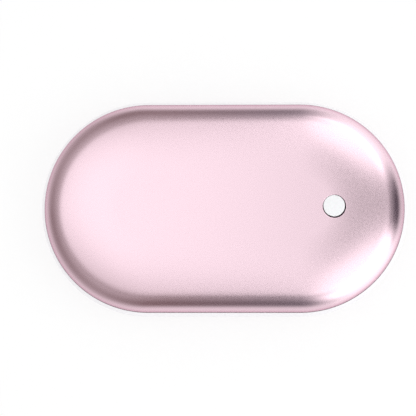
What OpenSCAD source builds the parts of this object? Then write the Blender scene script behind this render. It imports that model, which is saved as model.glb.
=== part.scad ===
// Rechargeable hand warmer: two drawn aluminium shells on a white moulded belt, with a round power
// button near one end and a charging socket in the belt beside it.
// +X points to the end with the button and the socket, +Z out of the side with the button.
// The origin is the middle of the flat land that the body rests on.

/* [Body] */
// Length over the belt
length = 102; // [98:1:116]
// Width over the belt
width = 60; // [57:1:68]
// Thickness over the two shells
thickness = 24; // [23:0.5:28]

/* [Shells] */
// Thickness of the drawn sheet
shell_wall = 0.8; // [0.6:0.1:1.2]
// Bend radius where the domed face turns down into the side
rim_radius = 6.2; // [4.4:0.2:6.8]
// Straight part of the side below that bend
rim_height = 0.4; // [0.2:0.1:0.8]
// Half width of the flat land in the middle of the domed face
land = 8; // [4:0.5:12]

/* [Belt] */
// Height of the belt between the two shells
belt_height = 7.6; // [7:0.1:8.2]
// How far the belt stands out past the shells at its middle
belt_bulge = 1.3; // [0.8:0.1:1.8]
// How far the belt's edge stands out past the shell that sits on it
seam_step = 0.1; // [0.05:0.05:0.3]
// Height of the tongue that rises inside each shell
tongue_height = 1.6; // [1.2:0.1:2]
// Thickness of the tongue
tongue_wall = 1.2; // [1:0.1:1.6]
// Gap between the tongue and the inside of the shell
tongue_gap = 0.4; // [0.3:0.1:0.6]
// Height of the channel inside the belt that the hooks catch in
channel_height = 4.4; // [4.2:0.1:4.8]
// Depth of that channel
channel_depth = 1.1; // [1:0.1:1.3]

/* [Liners] */
// Wall of the moulded liner inside each shell
liner_wall = 1.2; // [1:0.1:1.5]
// Thickness of the glue between a liner and its shell
glue = 0.1; // [0.05:0.05:0.2]
// Width of a snap hook
hook_width = 8; // [5:0.5:9]
// Thickness of a hook's leg
hook_wall = 1.1; // [0.9:0.1:1.3]
// How far a hook reaches under the belt's lip
hook_catch = 0.7; // [0.5:0.1:0.8]
// Height of a hook's barb
barb_height = 1.3; // [1:0.1:1.5]
// Clearance between a hook and the belt
hook_gap = 0.1; // [0.05:0.05:0.2]

/* [Button] */
// Distance of the button's axis from the end of the body
button_inset = 21; // [19:0.5:22.5]
// Diameter of the button's face
button_d = 5.8; // [5:0.1:7]
// Gap round the button in the shell
button_gap = 0.2; // [0.15:0.05:0.4]
// How far the button stands proud of the shell
button_proud = 0.1; // [0.1:0.05:0.8]
// Travel of the button
button_travel = 0.25; // [0.2:0.05:0.3]
// How far the button's flange reaches past the hole in the shell
flange_reach = 0.5; // [0.3:0.1:0.8]
// Thickness of that flange
flange_wall = 0.7; // [0.5:0.1:0.9]
// Diameter of the button's stem
stem_d = 3; // [2.4:0.1:3.3]
// Radial running clearance of the stems
running_gap = 0.06; // [0.04:0.01:0.09]
// Length of the guide round the stem
guide_length = 3.2; // [2.5:0.1:3.6]

/* [Battery] */
// Distance of the cell from the far end of the body
cell_inset = 15.5; // [14.5:0.5:27]
// Width of the cell
cell_width = 38; // [34:0.5:40]
// Thickness of the cell
cell_thickness = 12; // [9:0.5:13]
// Length of the sealed terrace that carries the tabs
terrace_length = 3.5; // [3:0.1:5]

/* [Heaters] */
// Distance of the film heaters from the far end of the body's straight part
film_margin = 0.5; // [0:0.5:7]
// Width of a film heater
film_width = 36; // [30:0.5:36.5]
// Thickness of the film
film_wall = 0.25; // [0.15:0.05:0.4]
// Thickness of the foil track
track_wall = 0.08; // [0.05:0.01:0.12]
// Width of the foil track
track_width = 2.2; // [1.4:0.1:2.6]
// Runs of the track on each side of the middle
track_runs = 5; // [3:2:7]
// Length of bare film at the solder pads, past the end of the foam
tail_length = 4.4; // [4:0.1:6]

/* [Board] */
// Thickness of the circuit boards
board_wall = 1.2; // [0.8:0.1:1.6]
// Half width of the main board
board_half = 19.2; // [18.8:0.1:19.6]
// Diameter of a screw post
post_d = 4.4; // [3.8:0.1:5]
// Diameter of a screw's shank
screw_d = 1.7; // [1.4:0.1:2]
// Length of a screw under its head
screw_length = 5; // [4:0.5:6]

/* [Socket] */
// Width of the charging socket over its steel shell
socket_w = 8.94; // [8.5:0.02:9.2]
// Height of the charging socket over its steel shell
socket_h = 3.16; // [3:0.02:3.4]
// Length of the charging socket
socket_length = 8.4; // [7.4:0.1:9.4]
// Sheet of the socket's shell
socket_wall = 0.3; // [0.2:0.05:0.35]
// How far the socket's mouth lies inside the belt
socket_recess = 0.6; // [0.3:0.1:1]
// Clearance round the socket in the belt
socket_gap = 0.2; // [0.1:0.05:0.35]

/* [Switch] */
// Side of the square switch
switch_side = 6; // [5.6:0.1:6.2]
// Height of the switch's base
switch_base_h = 3.1; // [2.8:0.1:3.4]
// Height of the switch over its stem
switch_height = 7; // [6:0.1:7.6]
// Diameter of the switch's stem
switch_stem_d = 3.4; // [3:0.1:3.6]

/* [Hidden] */
$fn = 96;

// Colours, as the photograph shows them outside and as such pieces come inside
rose = [0.95, 0.80, 0.83];
pearl = [0.96, 0.94, 0.96];
milk = [0.96, 0.96, 0.97];
natural = [0.86, 0.85, 0.82];
amber = [0.80, 0.50, 0.16];
foil = [0.72, 0.72, 0.70];
foam_grey = [0.30, 0.31, 0.33];
silver = [0.80, 0.81, 0.83];
board_green = [0.08, 0.36, 0.20];
chip_black = [0.10, 0.10, 0.11];
brass = [0.85, 0.68, 0.32];
ceramic = [0.70, 0.58, 0.44];

// Thin layers of glue and cover film
film_glue = 0.05;
track_glue = 0.03;
track_cover = 0.1;

// Main levels, measured from the middle plane of the belt
mid_z = thickness / 2;
top_z = thickness / 2;
ledge_z = belt_height / 2;
spine = (length - width) / 2;
shell_half = width / 2 - belt_bulge;

// The domed face: a flat land, a crown arc and a rim arc, each tangent to the next
rim_centre = [shell_half - rim_radius, ledge_z + rim_height];
rise = top_z - rim_centre[1];
run = rim_centre[0] - land;
crown_radius = (run ^ 2 + rise ^ 2 - rim_radius ^ 2) / (2 * (rise - rim_radius));
crown_centre = [land, top_z - crown_radius];
crown_angle = asin(run / (crown_radius - rim_radius));
crown_fn = 360;
crown_chords = 4;

// Insets of the layers under the shell's outer face
film_from = shell_wall + film_glue;
film_to = film_from + film_wall;
track_from = film_to + track_glue;
track_to = track_from + track_wall;
foam_from = track_to + track_cover;
liner_from = shell_wall + glue;
liner_to = liner_from + liner_wall;

// Belt and hooks, measured from the spine
tongue_out = shell_half - shell_wall - tongue_gap;
lip_in = tongue_out - tongue_wall;
tongue_z = ledge_z + tongue_height;
channel_z = channel_height / 2;
bulge = belt_bulge - seam_step;
bulge_radius = (ledge_z ^ 2 + bulge ^ 2) / (2 * bulge);
liner_foot = tongue_z + hook_gap;
leg_out = lip_in - hook_gap;
hook_root = 1.6;
leg_in = leg_out - hook_wall;
leg_top = liner_foot + hook_root;
catch_z = channel_z - hook_gap;
barb_lip = 0.4;
barb_taper = 0.3;
hook_places = [-15, 0, 15];
port_hook_angle = 64;
far_hook_angle = 30;

// Button, along its axis
button_x = length / 2 - button_inset;
hole_r = button_d / 2 + button_gap;
face_z = top_z + button_proud;
button_edge = 0.15;
flange_r = hole_r + flange_reach;
flange_gap = 0.05;
flange_top = crown_z(button_x - spine + flange_r, shell_wall) - flange_gap;
flange_z = flange_top - flange_wall;
guide_wall = 1.1;
pocket_gap = 0.2;
pocket_spare = 0.15;
pocket_r = flange_r + pocket_gap;
pocket_z = flange_z - button_travel - pocket_spare;
pocket_top = crown_z(button_x - spine + pocket_r + guide_wall, shell_wall) - glue;
guide_z = pocket_z - guide_length;

// Board and what stands on it
switch_margin = 1.4;
board_gap = 0.4;
board_top = -socket_h / 2;
board_z = board_top - board_wall;
board_back = button_x - switch_side / 2 - switch_margin;
board_r = lip_in - board_gap;
board_margin = 1.1;
switch_top = board_top + switch_height;
switch_base_top = board_top + switch_base_h;
base_floor = 0.8;
switch_floor = board_top + base_floor;
cover_wall = 0.3;
dome_rise = 0.35;
dome_r = switch_side * 0.36;
dome_gap = 0.1;
stem_flange_r = switch_stem_d / 2 + 0.45;
stem_flange_h = 0.7;
stem_play = 0.05;
back_post_offset = 1.6;
back_post_y = 16;
front_post_inset = 11.6;
front_post_y = 10;
back_post = [button_x - back_post_offset, back_post_y];
front_post = [length / 2 - front_post_inset, front_post_y];
post_root = 0.05;
posts = [for (place = [back_post, front_post], side = [-1, 1]) [place[0], side * place[1]]];
pilot_spare = 0.3;
screw_slack = 0.04;
screw_hole_gap = 0.5;
head_d = 3.2;
head_h = 1.1;
cross_w = 0.4;
cross_length = 1.8;
cross_depth = 0.55;
led_ring = 5.2;
led_angles = [-90, -30, 30, 90];
led_size = [1.6, 0.8, 0.3];
led_lens = [1, 0.8, 0.3];

// Socket, along the body
socket_mouth = length / 2 - socket_recess;
socket_back = socket_mouth - socket_length;
socket_flare = 0.5;
back_tab = 1.1;
front_tab = 3.5;
tab_places = [socket_back + back_tab, socket_back + front_tab];

// Battery, behind the board
terrace_end = board_back - board_margin;
cell_end = terrace_end - terrace_length;
cell_start = cell_inset - length / 2;
cell_length = cell_end - cell_start;
cell_half = cell_width / 2;
cell_z = cell_thickness / 2;
cell_corner = 2.2;
cell_gap = 0.25;
terrace_margin = 1.5;

// Ribs that keep the cell in its place
rib_wall = 1.2;
rib_root = 0.4;
side_rib_length = 10;
side_rib_top = 1;
stop_half = 8;
stop_top = -1;
near_stop_w = 6;
near_stop_top = -1.4;

// Heater film, from the end near the board
film_setback = 3;
film_end = cell_end - film_setback;
film_start = film_margin - spine;
film_corner = 0.5;
window_gap = 0.4;
foam_gap = 0.4;
foam_end = film_end - tail_length;
track_margin = 1.4;
pad_margin = 1;
track_pitch = (film_width / 2 - track_margin - track_width / 2) / (track_runs - 0.5);

// Small pieces
bead_r = 0.75;
bead_length = 3.4;
bead_y = 8.5;
bead_x = film_end - 1.8;
terrace_wall = 0.5;
cell_tab_y = 8;
cell_tab_w = 4;
cell_tab_length = 1.4;
cell_tab_gap = 0.4;
cell_tab_wall = 0.15;
guard_half = 12;
guard_wall = 0.8;
guard_gap = 0.3;
guard_z = terrace_wall / 2 + cell_tab_wall + 0.02;
guard_top = guard_z + guard_wall;
guard_chip = [2, 3, 0.9];
guard_chip_y = [-3, 1.2];
tab_length = 0.9;
tab_reach = 0.4;
slot_margin = 0.4;
plug_stop = 1.6;
tongue_gap_in = 0.1;
block_gap = 0.02;
tongue_root = 1;
tongue_tip = 0.6;
tongue_w = 6.69;
tongue_t = 0.7;
contact_pitch = 0.5;
contact_w = 0.24;
contact_rise = 0.05;
contact_tip = 1.2;
dome_wall = 0.08;

// Places on the main board, from the button's axis
chip_place = [5, -12];
inductor_place = [4.9, 11.8];
mosfet_places = [[6.2, -7], [0.6, -13]];
capacitor_places = [[1.2, 8.2], [3.2, 7.6], [7.8, 7], [10.2, 6.8], [10.2, -6.8], [1.6, -8.4]];
resistor_x = 9.4;
resistor_pitch = 1.35;

// Sizes of the packages and of their legs
chip_size = [4.9, 3.9, 1.45];
chip_lift = 0.15;
pin_pitch = 1.27;
pin_reach = 1.05;
pin_root = 0.7;
pin_w = 0.42;
leg_t = 0.2;
terminal_x = switch_side * 0.375;
terminal_reach = 1.5;
terminal_root = 0.6;
terminal_w = 0.7;
mosfet_size = [2.9, 1.6, 1.1];
capacitor_size = [1.25, 2, 1];
resistor_size = [1.6, 0.8, 0.45];
inductor_half = 2.6;
inductor_corner = 0.6;
inductor_base = 0.8;
inductor_core_d = 3.6;
inductor_core_h = 1.4;
inductor_cap = 0.7;

// Leads: diameters, and routes of points chosen by hand along the free space between the pieces
lead_d = 1.2;
wire_d = 1;
fine_wire_d = 0.5;
film_low = crown_z(3, track_to) - 0.05;
bead_z = crown_z(bead_y, track_to) - bead_r - 0.05;
on_board = board_top + 0.05;
under_board = board_z - 0.05;
battery_route = [
    [terrace_end - 1.5, -guard_half * 0.375, guard_top + lead_d / 2 + 0.05],
    [terrace_end - 0.4, -guard_half * 0.46, guard_top + lead_d / 2 + 0.3],
    [board_back + 0.6, -6.6, 0.9],
    [board_back + 1.8, -7.6, on_board + lead_d / 2 + 0.2],
    [board_back + 3.2, -8.2, on_board + lead_d / 2]
];
lead_step = [0, -guard_half * 0.2, 0];
top_heater_routes = [
    [
        [foam_end + 0.8, 1.7, film_low - wire_d / 2],
        [film_end - 1.4, 2.6, film_low - wire_d / 2 - 0.3],
        [film_end + 1.6, 4.6, film_low - wire_d / 2 - 1.9],
        [cell_end + 2.2, 8, 4.5],
        [board_back + 0.2, 10.2, 0.8],
        [board_back + 2, 10.6, on_board + wire_d / 2 + 0.15],
        [board_back + 3.2, 10.6, on_board + wire_d / 2]
    ], [
        [foam_end + 0.8, -1.7, film_low - wire_d / 2],
        [film_end - 1.4, -0.6, film_low - wire_d / 2 - 0.3],
        [film_end + 1.6, 2.2, film_low - wire_d / 2 - 1.9],
        [cell_end + 2.2, 5.8, 4.5],
        [board_back + 0.2, 8, 0.8],
        [board_back + 2, 8.4, on_board + wire_d / 2 + 0.15],
        [board_back + 3.2, 8.4, on_board + wire_d / 2]
    ]
];
bottom_heater_routes = [for (side = [-1, 1]) [
    [foam_end + 0.8, side * 1.7, wire_d / 2 - film_low],
    [film_end - 1.4, side * 2, wire_d / 2 - film_low + 0.3],
    [film_end + 1.4, side * 2.8, wire_d / 2 - film_low + 1.5],
    [cell_end + 2.5, side * 4.4, -6.4],
    [board_back + 1, side * 5.4, under_board - 1],
    [board_back + 2.6, side * 5.6, under_board - wire_d / 2 - 0.1],
    [board_back + 4, side * 5.6, under_board - wire_d / 2]
]];
bead_exit = bead_x + bead_r + 0.3;
beside_stop = guard_half - near_stop_w / 2 - 1.6;
thermistor_routes = [
    for (k = [0, 1]) [
        [bead_exit, 8 + k, bead_z],
        [film_end + 0.6, 8.6 + 1.1 * k, bead_z - 0.9],
        [cell_end, 10.5 + 1.2 * k, 7.6],
        [cell_end + 2.6, 12.4 + 1.1 * k, 4],
        [board_back + 0.2, 12.8 + 1.1 * k, 0.4],
        [board_back + 1.8, 12.8 + 1.1 * k, on_board + fine_wire_d / 2 + 0.15],
        [board_back + 2.8, 12.8 + 1.1 * k, on_board + fine_wire_d / 2]
    ],
    for (k = [0, 1]) [
        [bead_exit, 8 + k, -bead_z],
        [film_end + 0.8, 7.7 + 0.9 * k, 0.9 - bead_z],
        [cell_end + 0.2, beside_stop + 0.8 * k, -7.4],
        [terrace_end - 0.1, beside_stop + 0.8 * k, -4.6],
        [board_back + 1.4, 7.4 + 0.8 * k, under_board - fine_wire_d / 2 - 0.3],
        [board_back + 3, 7.4 + 0.8 * k, under_board - fine_wire_d / 2]
    ]
];

// Lifts what is drawn about the middle plane on to the land that the body rests on
module lifted() {
    translate([0, 0, mid_z]) children();
}

// The same for what is drawn for the top and belongs to the bottom
module lifted_below() {
    lifted() mirror([0, 0, 1]) children();
}

// Sweeps a section, drawn as distance from the spine and height, round the whole body
module round_the_body() {
    for (side = [0, 1]) mirror([side, 0, 0]) translate([spine, 0, 0]) rotate([0, 0, -90])
        rotate_extrude(angle = 180) children();
    translate([-spine, 0, 0]) rotate([90, 0, 90]) linear_extrude(2 * spine)
        for (side = [0, 1]) mirror([side, 0]) children();
}

// A point on an arc, at an angle from straight up
function on_arc(centre, radius, angle) = centre + radius * [sin(angle), cos(angle)];

// The sliver of a circle between its chord and its arc, from one such angle to another
module bow(centre, radius, from, to) {
    p = on_arc(centre, radius, from);
    q = on_arc(centre, radius, to);
    out = radius * [p[1] - q[1], q[0] - p[0]] / norm(q - p);
    intersection() {
        translate(centre) circle(radius);
        polygon([p, q, q + out, p + out]);
    }
}

// Everything under the domed face, a given inset inside it, down to a given level
module under_dome(inset, low) {
    high = top_z - inset;
    wide = shell_half - inset;
    knee = on_arc(rim_centre, rim_radius - inset, crown_angle);
    polygon([[0, low], [0, high], [land, high], knee, [wide, rim_centre[1]], [wide, low]]);
    bow(crown_centre, crown_radius - inset, 0, crown_angle, $fn = crown_fn);
    bow(rim_centre, rim_radius - inset, crown_angle, 90);
}

// The same with a crown of straight chords, for the inside of the liners
module under_chords(inset, low) {
    wide = shell_half - inset;
    crown = [for (k = [0 : crown_chords])
        on_arc(crown_centre, crown_radius - inset, crown_angle * k / crown_chords)];
    polygon(concat([[0, low], [0, top_z - inset]], crown, [[wide, rim_centre[1]], [wide, low]]));
    bow(rim_centre, rim_radius - inset, crown_angle, 90);
}

// Leaves of a section only what lies above a given level
module above(low) {
    difference() {
        children();
        translate([0, -2]) square([width, low + 2]);
    }
}

// A rectangle with round corners, from two opposite corners
module rounded(low, high, radius) {
    translate(low + [radius, 0]) square([high[0] - low[0] - 2 * radius, high[1] - low[1]]);
    translate(low + [0, radius]) square([high[0] - low[0], high[1] - low[1] - 2 * radius]);
    for (x = [low[0] + radius, high[0] - radius], y = [low[1] + radius, high[1] - radius])
        translate([x, y]) circle(radius);
}

// The outline of the heater film, grown by a gap
module film_outline(grow) {
    rounded([film_start - grow, -film_width / 2 - grow], [film_end + grow, film_width / 2 + grow],
        film_corner + grow);
}

// The flat oval of the socket
module oval(w, h) {
    square([w - h, h], center = true);
    for (side = [-1, 1]) translate([side * (w - h) / 2, 0]) circle(d = h);
}

// Places an oval that faces the end of the body, from one distance to another
module socket_bar(from, to, grow) {
    translate([from, 0, 0]) rotate([90, 0, 90]) linear_extrude(to - from)
        oval(socket_w + 2 * grow, socket_h + 2 * grow);
}

module shell() {
    round_the_body() above(ledge_z) difference() {
        under_dome(0, 0);
        under_dome(shell_wall, -1);
    }
}

module top_shell() {
    color(rose) lifted() difference() {
        shell();
        translate([button_x, 0, 0]) cylinder(r = hole_r, h = thickness);
    }
}

module bottom_shell() {
    color(rose) lifted_below() shell();
}

module belt_section() {
    difference() {
        union() {
            intersection() {
                translate([width / 2 - bulge_radius, 0]) circle(bulge_radius);
                translate([lip_in, -ledge_z]) square([width, belt_height]);
            }
            translate([lip_in, -tongue_z]) square([tongue_wall, 2 * tongue_z]);
        }
        translate([0, -channel_z]) square([lip_in + channel_depth, channel_height]);
    }
}

module mid_frame() {
    color(pearl) lifted() difference() {
        round_the_body() belt_section();
        socket_bar(spine, length, socket_gap);
        socket_bar(socket_mouth, length, socket_gap + socket_flare);
    }
}

module hook_section() {
    polygon([
        [leg_in, leg_top], [leg_out, leg_top], [leg_out, catch_z], [lip_in + hook_catch, catch_z],
        [lip_in + hook_catch, catch_z - barb_lip], [leg_out - barb_taper, catch_z - barb_height],
        [leg_in, catch_z - barb_height]
    ]);
}

// A hook on the round end, centred on an angle
module end_hook(angle) {
    sweep = hook_width / leg_out * 180 / PI;
    rotate([0, 0, angle - sweep / 2]) rotate_extrude(angle = sweep) hook_section();
}

module hooks() {
    for (side = [0, 1], x = hook_places) mirror([0, side, 0]) translate([x - hook_width / 2, 0, 0])
        rotate([90, 0, 90]) linear_extrude(hook_width) hook_section();
    for (side = [-1, 1]) {
        translate([spine, 0, 0]) end_hook(side * port_hook_angle);
        translate([-spine, 0, 0]) end_hook(180 + side * far_hook_angle);
    }
}

// What both liners share: the tray with its window for the heater, and the hooks
module liner() {
    difference() {
        round_the_body() above(liner_foot) difference() {
            under_dome(liner_from, 0);
            under_chords(liner_to, -1);
        }
        linear_extrude(thickness) film_outline(window_gap);
    }
    hooks();
}

module top_liner() {
    color(natural) lifted() difference() {
        union() {
            liner();
            translate([button_x, 0, pocket_z - guide_wall])
                cylinder(r = pocket_r + guide_wall, h = pocket_top - pocket_z + guide_wall);
            translate([button_x, 0, guide_z]) cylinder(r = stem_d / 2 + guide_wall, h = guide_length);
        }
        translate([button_x, 0, 0]) cylinder(r = stem_d / 2 + running_gap, h = thickness);
        translate([button_x, 0, pocket_z]) cylinder(r = pocket_r, h = thickness);
    }
}

// Height of the crown arc over the middle plane, at a distance from the spine
function crown_z(d, inset) = crown_centre[1] + sqrt((crown_radius - inset) ^ 2 - max(0, d - land) ^ 2);

// Distance of a point from the spine
function from_spine(p) = norm([max(0, abs(p[0]) - spine), p[1]]);

// An upright rib on a liner, under a given height
module rib(low, high, top) {
    foot = crown_z(from_spine([max(abs(low[0]), abs(high[0])), max(abs(low[1]), abs(high[1]))]), liner_to);
    translate([low[0], low[1], -foot - rib_root])
        cube([high[0] - low[0], high[1] - low[1], top + foot + rib_root]);
}

// An upright rib given by its middle, its length and width, and its height
module rib_at(x, y, size, top) {
    rib([x - size[0] / 2, y - size[1] / 2], [x + size[0] / 2, y + size[1] / 2], top);
}

module battery_ribs() {
    off = cell_gap + rib_wall / 2;
    side_y = max(cell_half + off, film_width / 2 + window_gap + rib_wall / 2);
    for (side = [-1, 1]) {
        for (end = [-1, 1])
            rib_at((cell_start + cell_end) / 2 + end * cell_length / 5, side * side_y,
                [side_rib_length, rib_wall], side_rib_top);
        rib_at(cell_end + off, side * guard_half, [rib_wall, near_stop_w], near_stop_top);
    }
    rib_at(cell_start - off, 0, [rib_wall, 2 * stop_half], stop_top);
}

module bottom_liner() {
    color(natural) lifted() {
        difference() {
            union() {
                mirror([0, 0, 1]) liner();
                for (p = posts) {
                    foot = crown_z(from_spine(p) - post_d / 2, liner_to) + post_root;
                    translate([p[0], p[1], -foot]) cylinder(d = post_d, h = foot + board_z);
                }
            }
            for (p = posts) translate([p[0], p[1], board_top - screw_length - pilot_spare])
                cylinder(d = screw_d, h = thickness);
        }
        battery_ribs();
    }
}

module power_button() {
    r = button_d / 2;
    color(milk) lifted() translate([button_x, 0, 0]) rotate_extrude() {
        difference() {
            translate([0, flange_z]) square([r, face_z - flange_z]);
            translate([r - button_edge, face_z - button_edge]) difference() {
                square(2 * button_edge);
                circle(button_edge);
            }
        }
        translate([0, flange_z]) square([flange_r, flange_wall]);
        translate([0, switch_top]) square([stem_d / 2, flange_z - switch_top]);
    }
}

// A thin band under the face between two insets, between two distances from the middle line
module band(from, to, near, far) {
    intersection() {
        union() {
            translate([0, top_z - to]) square([land, to - from]);
            intersection() {
                translate([land, 0]) square([run, top_z]);
                difference() {
                    translate(crown_centre) circle(crown_radius - from, $fn = crown_fn);
                    translate(crown_centre) circle(crown_radius - to, $fn = crown_fn);
                }
            }
        }
        translate([near, 0]) square([far - near, top_z]);
    }
}

// Draws a section along the straight part of the body, from one distance to another
module along(low, high) {
    translate([low, 0, 0]) rotate([90, 0, 90]) linear_extrude(high - low) children();
}

module heater_film() {
    along(film_start, film_end) for (side = [0, 1]) mirror([side, 0])
        band(film_from, film_to, 0, film_width / 2);
}

module top_heater_film() {
    color(amber) lifted() heater_film();
}

module bottom_heater_film() {
    color(amber) lifted_below() heater_film();
}

// A strip of the foil track
module foil_strip(low, high, near, far) {
    along(low, high) band(track_from, track_to, near, far);
}

// The foil track: one line that runs to and fro from one pad to the other
module heater_track() {
    half = track_width / 2;
    near = foam_end - track_margin;
    far = film_start + track_margin;
    last = track_runs - 1;
    for (side = [0, 1]) mirror([0, side, 0]) {
        for (k = [0 : last]) {
            y = (k + 0.5) * track_pitch;
            low = k == last ? far : far + track_pitch;
            high = k == 0 ? film_end - pad_margin : near;
            turn = k % 2 == 0 ? low : near - track_width;
            foil_strip(low, high, y - half, y + half);
            if (k < last) foil_strip(turn, turn + track_width, y - half, y + track_pitch + half);
        }
        foil_strip(far, far + track_width, 0, (track_runs - 0.5) * track_pitch + half);
    }
}

module top_heater_track() {
    color(foil) lifted() heater_track();
}

module bottom_heater_track() {
    color(foil) lifted_below() heater_track();
}

// The foam that presses the heater on the shell, between the window's edges
module foam_block() {
    along(film_start + foam_gap, foam_end) for (side = [0, 1]) mirror([side, 0]) intersection() {
        under_dome(foam_from, cell_z + 0.05);
        square([film_width / 2 - foam_gap, thickness]);
    }
}

module top_insulation() {
    color(foam_grey) lifted() foam_block();
}

module bottom_insulation() {
    color(foam_grey) lifted_below() foam_block();
}

// A glass bead sensor that lies across the bare end of the film
module bead() {
    translate([bead_x, bead_y, bead_z]) rotate([90, 0, 0]) {
        cylinder(r = bead_r, h = bead_length - bead_r, center = true);
        for (side = [-1, 1]) translate([0, 0, side * (bead_length - bead_r) / 2]) sphere(bead_r);
    }
}

module top_thermistor() {
    color("firebrick") lifted() bead();
}

module bottom_thermistor() {
    color("firebrick") lifted_below() bead();
}

// A box with round edges along all three axes, centred on the middle plane
module pouch(from, to, half, high, radius) {
    intersection() {
        translate([0, 0, -high]) linear_extrude(2 * high) rounded([from, -half], [to, half], radius);
        translate([from, 0, 0]) rotate([90, 0, 90]) linear_extrude(to - from)
            rounded([-half, -high], [half, high], radius);
        translate([0, half, 0]) rotate([90, 0, 0]) linear_extrude(2 * half)
            rounded([from, -high], [to, high], radius);
    }
}

module battery_cell() {
    color(silver) lifted() {
        pouch(cell_start, cell_end, cell_half, cell_z, cell_corner);
        translate([cell_end - cell_corner, terrace_margin - cell_half, -terrace_wall / 2])
            cube([terrace_length + cell_corner, cell_width - 2 * terrace_margin, terrace_wall]);
    }
}

module battery_tabs() {
    color(foil) lifted() for (side = [-1, 1])
        translate([cell_end + cell_tab_gap, side * cell_tab_y - cell_tab_w / 2, terrace_wall / 2])
            cube([cell_tab_length, cell_tab_w, cell_tab_wall]);
}

module protection_board() {
    color(board_green) lifted() translate([cell_end + guard_gap, -guard_half, guard_z])
        cube([terrace_length - guard_gap, 2 * guard_half, guard_wall]);
}

module protection_chips() {
    color(chip_black) lifted() for (y = guard_chip_y)
        translate([cell_end + guard_gap + slot_margin, y, guard_top]) cube(guard_chip);
}

module board_outline() {
    intersection() {
        translate([spine, 0]) circle(board_r);
        translate([board_back, -board_half]) square([width, 2 * board_half]);
    }
}

module main_board() {
    color(board_green) lifted() translate([0, 0, board_z]) linear_extrude(board_wall) difference() {
        board_outline();
        for (p = posts) translate(p) circle(d = screw_d + screw_hole_gap);
        for (x = tab_places, side = [-1, 1]) translate([x, side * (socket_w - socket_wall) / 2])
            square([tab_length + slot_margin, socket_wall + slot_margin], center = true);
    }
}

module board_screws() {
    color(silver) lifted() for (p = posts) translate([p[0], p[1], board_top]) difference() {
        union() {
            translate([0, 0, -screw_length]) cylinder(d = screw_d - screw_slack, h = screw_length);
            intersection() {
                cylinder(d = head_d, h = head_h);
                translate([0, 0, head_h - head_d]) sphere(head_d, $fn = 64);
            }
        }
        for (turn = [0, 90]) rotate(turn) translate([0, 0, head_h + head_d / 2 - cross_depth])
            cube([cross_length, cross_w, head_d], center = true);
    }
}

module usb_c_shell() {
    color(silver) lifted() {
        difference() {
            socket_bar(socket_back, socket_mouth, 0);
            socket_bar(socket_back - 1, socket_mouth + 1, -socket_wall);
        }
        for (x = tab_places, side = [-1, 1])
            translate([x, side * (socket_w - socket_wall) / 2, (board_z - tab_reach) / 2])
                cube([tab_length, socket_wall, tab_reach - board_z], center = true);
    }
}

module usb_c_tongue() {
    color(chip_black) lifted() {
        socket_bar(socket_back + tongue_gap_in, socket_back + plug_stop, -socket_wall - block_gap);
        translate([socket_back + tongue_root, -tongue_w / 2, -tongue_t / 2])
            cube([socket_length - tongue_root - tongue_tip, tongue_w, tongue_t]);
    }
}

module usb_c_contacts() {
    color(brass) lifted() for (side = [0, 1]) mirror([0, 0, side]) for (k = [0 : 11])
        translate([socket_back + plug_stop, (k - 5.5) * contact_pitch - contact_w / 2, tongue_t / 2])
            cube([socket_length - plug_stop - contact_tip, contact_w, contact_rise]);
}

// Places what is drawn about the button's axis
module at_button() {
    lifted() translate([button_x, 0, 0]) children();
}

module switch_base() {
    side = switch_side;
    color(chip_black) at_button() difference() {
        translate([-side / 2, -side / 2, board_top]) cube([side, side, switch_base_h]);
        translate([0, 0, switch_floor]) cylinder(r = dome_r + dome_gap, h = thickness);
    }
}

module switch_cover() {
    side = switch_side;
    color(silver) at_button() difference() {
        translate([-side / 2, -side / 2, switch_base_top]) cube([side, side, cover_wall]);
        cylinder(r = switch_stem_d / 2 + running_gap, h = thickness);
    }
}

module switch_stem() {
    low = switch_floor + dome_rise + dome_wall;
    high = switch_base_top - stem_play;
    color(chip_black) at_button() rotate_extrude() {
        translate([0, high - stem_flange_h]) square([stem_flange_r, stem_flange_h]);
        translate([0, low]) square([switch_stem_d / 2, switch_top - low]);
    }
}

module switch_dome() {
    // The snap dome is a cap of a hollow sphere that stands on the floor of the base
    sphere_r = (dome_r ^ 2 + dome_rise ^ 2) / (2 * dome_rise);
    color(silver) at_button() translate([0, 0, switch_floor]) rotate_extrude() intersection() {
        translate([0, dome_rise - sphere_r]) difference() {
            circle(sphere_r + dome_wall, $fn = crown_fn);
            circle(sphere_r, $fn = crown_fn);
        }
        square([dome_r, 1]);
    }
}

// A flat strip that leaves a package and steps down to the board, drawn along +X from its root
module gull_leg(reach, root, w) {
    bend = reach * 0.35;
    translate([0, w / 2, 0]) rotate([90, 0, 0]) linear_extrude(w) polygon([
        [0, root], [bend, root], [bend, 0], [reach, 0], [reach, leg_t],
        [bend + leg_t, leg_t], [bend + leg_t, root + leg_t], [0, root + leg_t]
    ]);
}

module switch_terminals() {
    color(silver) at_button() for (side = [-1, 1], y = [-1, 1])
        translate([side * terminal_x, y * switch_side / 2, board_top]) rotate(y * 90)
            gull_leg(terminal_reach, terminal_root, terminal_w);
}

module indicator_leds() {
    color("ivory") at_button() for (angle = led_angles)
        translate([led_ring * cos(angle), led_ring * sin(angle), board_top]) {
            translate([-led_size[0] / 2, -led_size[1] / 2, 0]) cube(led_size);
            translate([-led_lens[0] / 2, -led_lens[1] / 2, led_size[2]]) cube(led_lens);
        }
}

// A package centred on a place of the board, given as distances from the button's axis
module package(place, size) {
    lifted() translate([button_x + place[0] - size[0] / 2, place[1] - size[1] / 2, board_top])
        cube(size);
}

module charge_chip() {
    color(chip_black) translate([0, 0, chip_lift]) package(chip_place, chip_size);
}

module charge_chip_pins() {
    color(silver) at_button() for (side = [-1, 1], k = [0 : 3])
        translate([chip_place[0] + (k - 1.5) * pin_pitch, chip_place[1], board_top]) rotate(side * 90)
            translate([chip_size[1] / 2, 0, 0]) gull_leg(pin_reach, pin_root, pin_w);
}

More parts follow.
